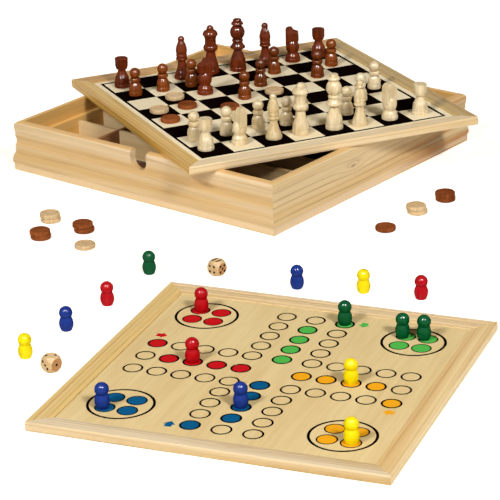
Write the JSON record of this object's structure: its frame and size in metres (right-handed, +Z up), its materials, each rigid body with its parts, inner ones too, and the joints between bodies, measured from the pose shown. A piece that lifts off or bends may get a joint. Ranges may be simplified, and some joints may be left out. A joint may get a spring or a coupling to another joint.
{
  "type": "games compendium box",
  "caption": "Pine games box with divided inside, chess board lying twisted on its rim as the lid, second board for a four-colour race game, turned chessmen, draughts, pegs and wooden dice.",
  "frame": {"origin": "centre of the underside of the box", "axes": "+Z up; -Y is the side of the box with the finger notch; +X is to the right of it"},
  "size_m": [0.7582, 0.8636, 0.1169],
  "materials": {
    "box_pine": "clear satin lacquer",
    "box_ply": "bare plywood",
    "frame_pine": "clear satin lacquer",
    "chess_print": "printed squares under satin lacquer",
    "race_print": "printed fields under satin lacquer",
    "men_light": "satin lacquer",
    "men_dark": "glossy stain",
    "draught_light": "satin lacquer",
    "draught_dark": "glossy stain",
    "peg_red": "gloss paint",
    "peg_blue": "gloss paint",
    "peg_green": "gloss paint",
    "peg_yellow": "gloss paint",
    "die_wood": "waxed, dark drilled pips"
  },
  "bodies": {
    "box": {"wall_front": "box_pine", "wall_back": "box_pine", "wall_left": "box_pine", "wall_right": "box_pine", "bottom_panel": "box_ply", "ledge_front": "box_pine", "ledge_back": "box_pine", "ledge_left": "box_pine", "ledge_right": "box_pine", "divider_front": "box_pine", "divider_middle": "box_pine", "divider_rear": "box_pine", "divider_left": "box_pine", "divider_right": "box_pine"},
    "chess_board": {"chess_rail_front": "frame_pine", "chess_rail_back": "frame_pine", "chess_rail_left": "frame_pine", "chess_rail_right": "frame_pine", "chess_panel": "chess_print"},
    "race_board": {"race_rail_front": "frame_pine", "race_rail_back": "frame_pine", "race_rail_left": "frame_pine", "race_rail_right": "frame_pine", "race_panel": "race_print"},
    "light_king_set": {"light_king": "men_light"},
    "light_queen_set": {"light_queen": "men_light"},
    "light_bishops_set": {"light_bishops": "men_light"},
    "light_knights_set": {"light_knights": "men_light"},
    "light_rooks_set": {"light_rooks": "men_light"},
    "light_pawns_set": {"light_pawns": "men_light"},
    "dark_king_set": {"dark_king": "men_dark"},
    "dark_queen_set": {"dark_queen": "men_dark"},
    "dark_bishops_set": {"dark_bishops": "men_dark"},
    "dark_knights_set": {"dark_knights": "men_dark"},
    "dark_rooks_set": {"dark_rooks": "men_dark"},
    "dark_pawns_set": {"dark_pawns": "men_dark"},
    "light_draughts_board_set": {"light_draughts_board": "draught_light"},
    "dark_draughts_board_set": {"dark_draughts_board": "draught_dark"},
    "red_pegs_board_set": {"red_pegs_board": "peg_red"},
    "blue_pegs_board_set": {"blue_pegs_board": "peg_blue"},
    "green_pegs_board_set": {"green_pegs_board": "peg_green"},
    "yellow_pegs_board_set": {"yellow_pegs_board": "peg_yellow"},
    "light_draughts_low_set": {"light_draughts_low": "draught_light"},
    "dark_draughts_low_set": {"dark_draughts_low": "draught_dark"},
    "red_pegs_loose_set": {"red_pegs_loose": "peg_red"},
    "blue_pegs_loose_set": {"blue_pegs_loose": "peg_blue"},
    "green_pegs_loose_set": {"green_pegs_loose": "peg_green"},
    "yellow_pegs_loose_set": {"yellow_pegs_loose": "peg_yellow"},
    "die_front_set": {"die_front": "die_wood"},
    "die_rear_set": {"die_rear": "die_wood"},
    "light_draughts_stacked_set": {"light_draughts_stacked": "draught_light"},
    "dark_draughts_stacked_set": {"dark_draughts_stacked": "draught_dark"}
  },
  "joints": [
    {"name": "chess_board_lift", "type": "slide", "parent": "box", "child": "chess_board", "axis": [0, 0, 1], "range_m": [0, 0.15]},
    {"name": "race_board_lift", "type": "slide", "parent": "box", "child": "race_board", "axis": [0, 0, 1], "range_m": [0, 0.12]},
    {"name": "light_king_lift", "type": "slide", "parent": "chess_board", "child": "light_king_set", "axis": [0, 0, 1], "range_m": [0, 0.08]},
    {"name": "light_queen_lift", "type": "slide", "parent": "chess_board", "child": "light_queen_set", "axis": [0, 0, 1], "range_m": [0, 0.08]},
    {"name": "light_bishops_lift", "type": "slide", "parent": "chess_board", "child": "light_bishops_set", "axis": [0, 0, 1], "range_m": [0, 0.08]},
    {"name": "light_knights_lift", "type": "slide", "parent": "chess_board", "child": "light_knights_set", "axis": [0, 0, 1], "range_m": [0, 0.08]},
    {"name": "light_rooks_lift", "type": "slide", "parent": "chess_board", "child": "light_rooks_set", "axis": [0, 0, 1], "range_m": [0, 0.08]},
    {"name": "light_pawns_lift", "type": "slide", "parent": "chess_board", "child": "light_pawns_set", "axis": [0, 0, 1], "range_m": [0, 0.08]},
    {"name": "dark_king_lift", "type": "slide", "parent": "chess_board", "child": "dark_king_set", "axis": [0, 0, 1], "range_m": [0, 0.08]},
    {"name": "dark_queen_lift", "type": "slide", "parent": "chess_board", "child": "dark_queen_set", "axis": [0, 0, 1], "range_m": [0, 0.08]},
    {"name": "dark_bishops_lift", "type": "slide", "parent": "chess_board", "child": "dark_bishops_set", "axis": [0, 0, 1], "range_m": [0, 0.08]},
    {"name": "dark_knights_lift", "type": "slide", "parent": "chess_board", "child": "dark_knights_set", "axis": [0, 0, 1], "range_m": [0, 0.08]},
    {"name": "dark_rooks_lift", "type": "slide", "parent": "chess_board", "child": "dark_rooks_set", "axis": [0, 0, 1], "range_m": [0, 0.08]},
    {"name": "dark_pawns_lift", "type": "slide", "parent": "chess_board", "child": "dark_pawns_set", "axis": [0, 0, 1], "range_m": [0, 0.08]},
    {"name": "light_draughts_board_lift", "type": "slide", "parent": "chess_board", "child": "light_draughts_board_set", "axis": [0, 0, 1], "range_m": [0, 0.08]},
    {"name": "dark_draughts_board_lift", "type": "slide", "parent": "chess_board", "child": "dark_draughts_board_set", "axis": [0, 0, 1], "range_m": [0, 0.08]},
    {"name": "red_pegs_board_lift", "type": "slide", "parent": "race_board", "child": "red_pegs_board_set", "axis": [0, 0, 1], "range_m": [0, 0.06]},
    {"name": "blue_pegs_board_lift", "type": "slide", "parent": "race_board", "child": "blue_pegs_board_set", "axis": [0, 0, 1], "range_m": [0, 0.06]},
    {"name": "green_pegs_board_lift", "type": "slide", "parent": "race_board", "child": "green_pegs_board_set", "axis": [0, 0, 1], "range_m": [0, 0.06]},
    {"name": "yellow_pegs_board_lift", "type": "slide", "parent": "race_board", "child": "yellow_pegs_board_set", "axis": [0, 0, 1], "range_m": [0, 0.06]},
    {"name": "light_draughts_low_lift", "type": "slide", "parent": "box", "child": "light_draughts_low_set", "axis": [0, 0, 1], "range_m": [0, 0.06]},
    {"name": "dark_draughts_low_lift", "type": "slide", "parent": "box", "child": "dark_draughts_low_set", "axis": [0, 0, 1], "range_m": [0, 0.06]},
    {"name": "red_pegs_loose_lift", "type": "slide", "parent": "box", "child": "red_pegs_loose_set", "axis": [0, 0, 1], "range_m": [0, 0.06]},
    {"name": "blue_pegs_loose_lift", "type": "slide", "parent": "box", "child": "blue_pegs_loose_set", "axis": [0, 0, 1], "range_m": [0, 0.06]},
    {"name": "green_pegs_loose_lift", "type": "slide", "parent": "box", "child": "green_pegs_loose_set", "axis": [0, 0, 1], "range_m": [0, 0.06]},
    {"name": "yellow_pegs_loose_lift", "type": "slide", "parent": "box", "child": "yellow_pegs_loose_set", "axis": [0, 0, 1], "range_m": [0, 0.06]},
    {"name": "die_front_lift", "type": "slide", "parent": "box", "child": "die_front_set", "axis": [0, 0, 1], "range_m": [0, 0.06]},
    {"name": "die_rear_lift", "type": "slide", "parent": "box", "child": "die_rear_set", "axis": [0, 0, 1], "range_m": [0, 0.06]},
    {"name": "light_draughts_stacked_lift", "type": "slide", "parent": "light_draughts_low_set", "child": "light_draughts_stacked_set", "axis": [0, 0, 1], "range_m": [0, 0.03]},
    {"name": "dark_draughts_stacked_lift", "type": "slide", "parent": "dark_draughts_low_set", "child": "dark_draughts_stacked_set", "axis": [0, 0, 1], "range_m": [0, 0.03]}
  ]
}
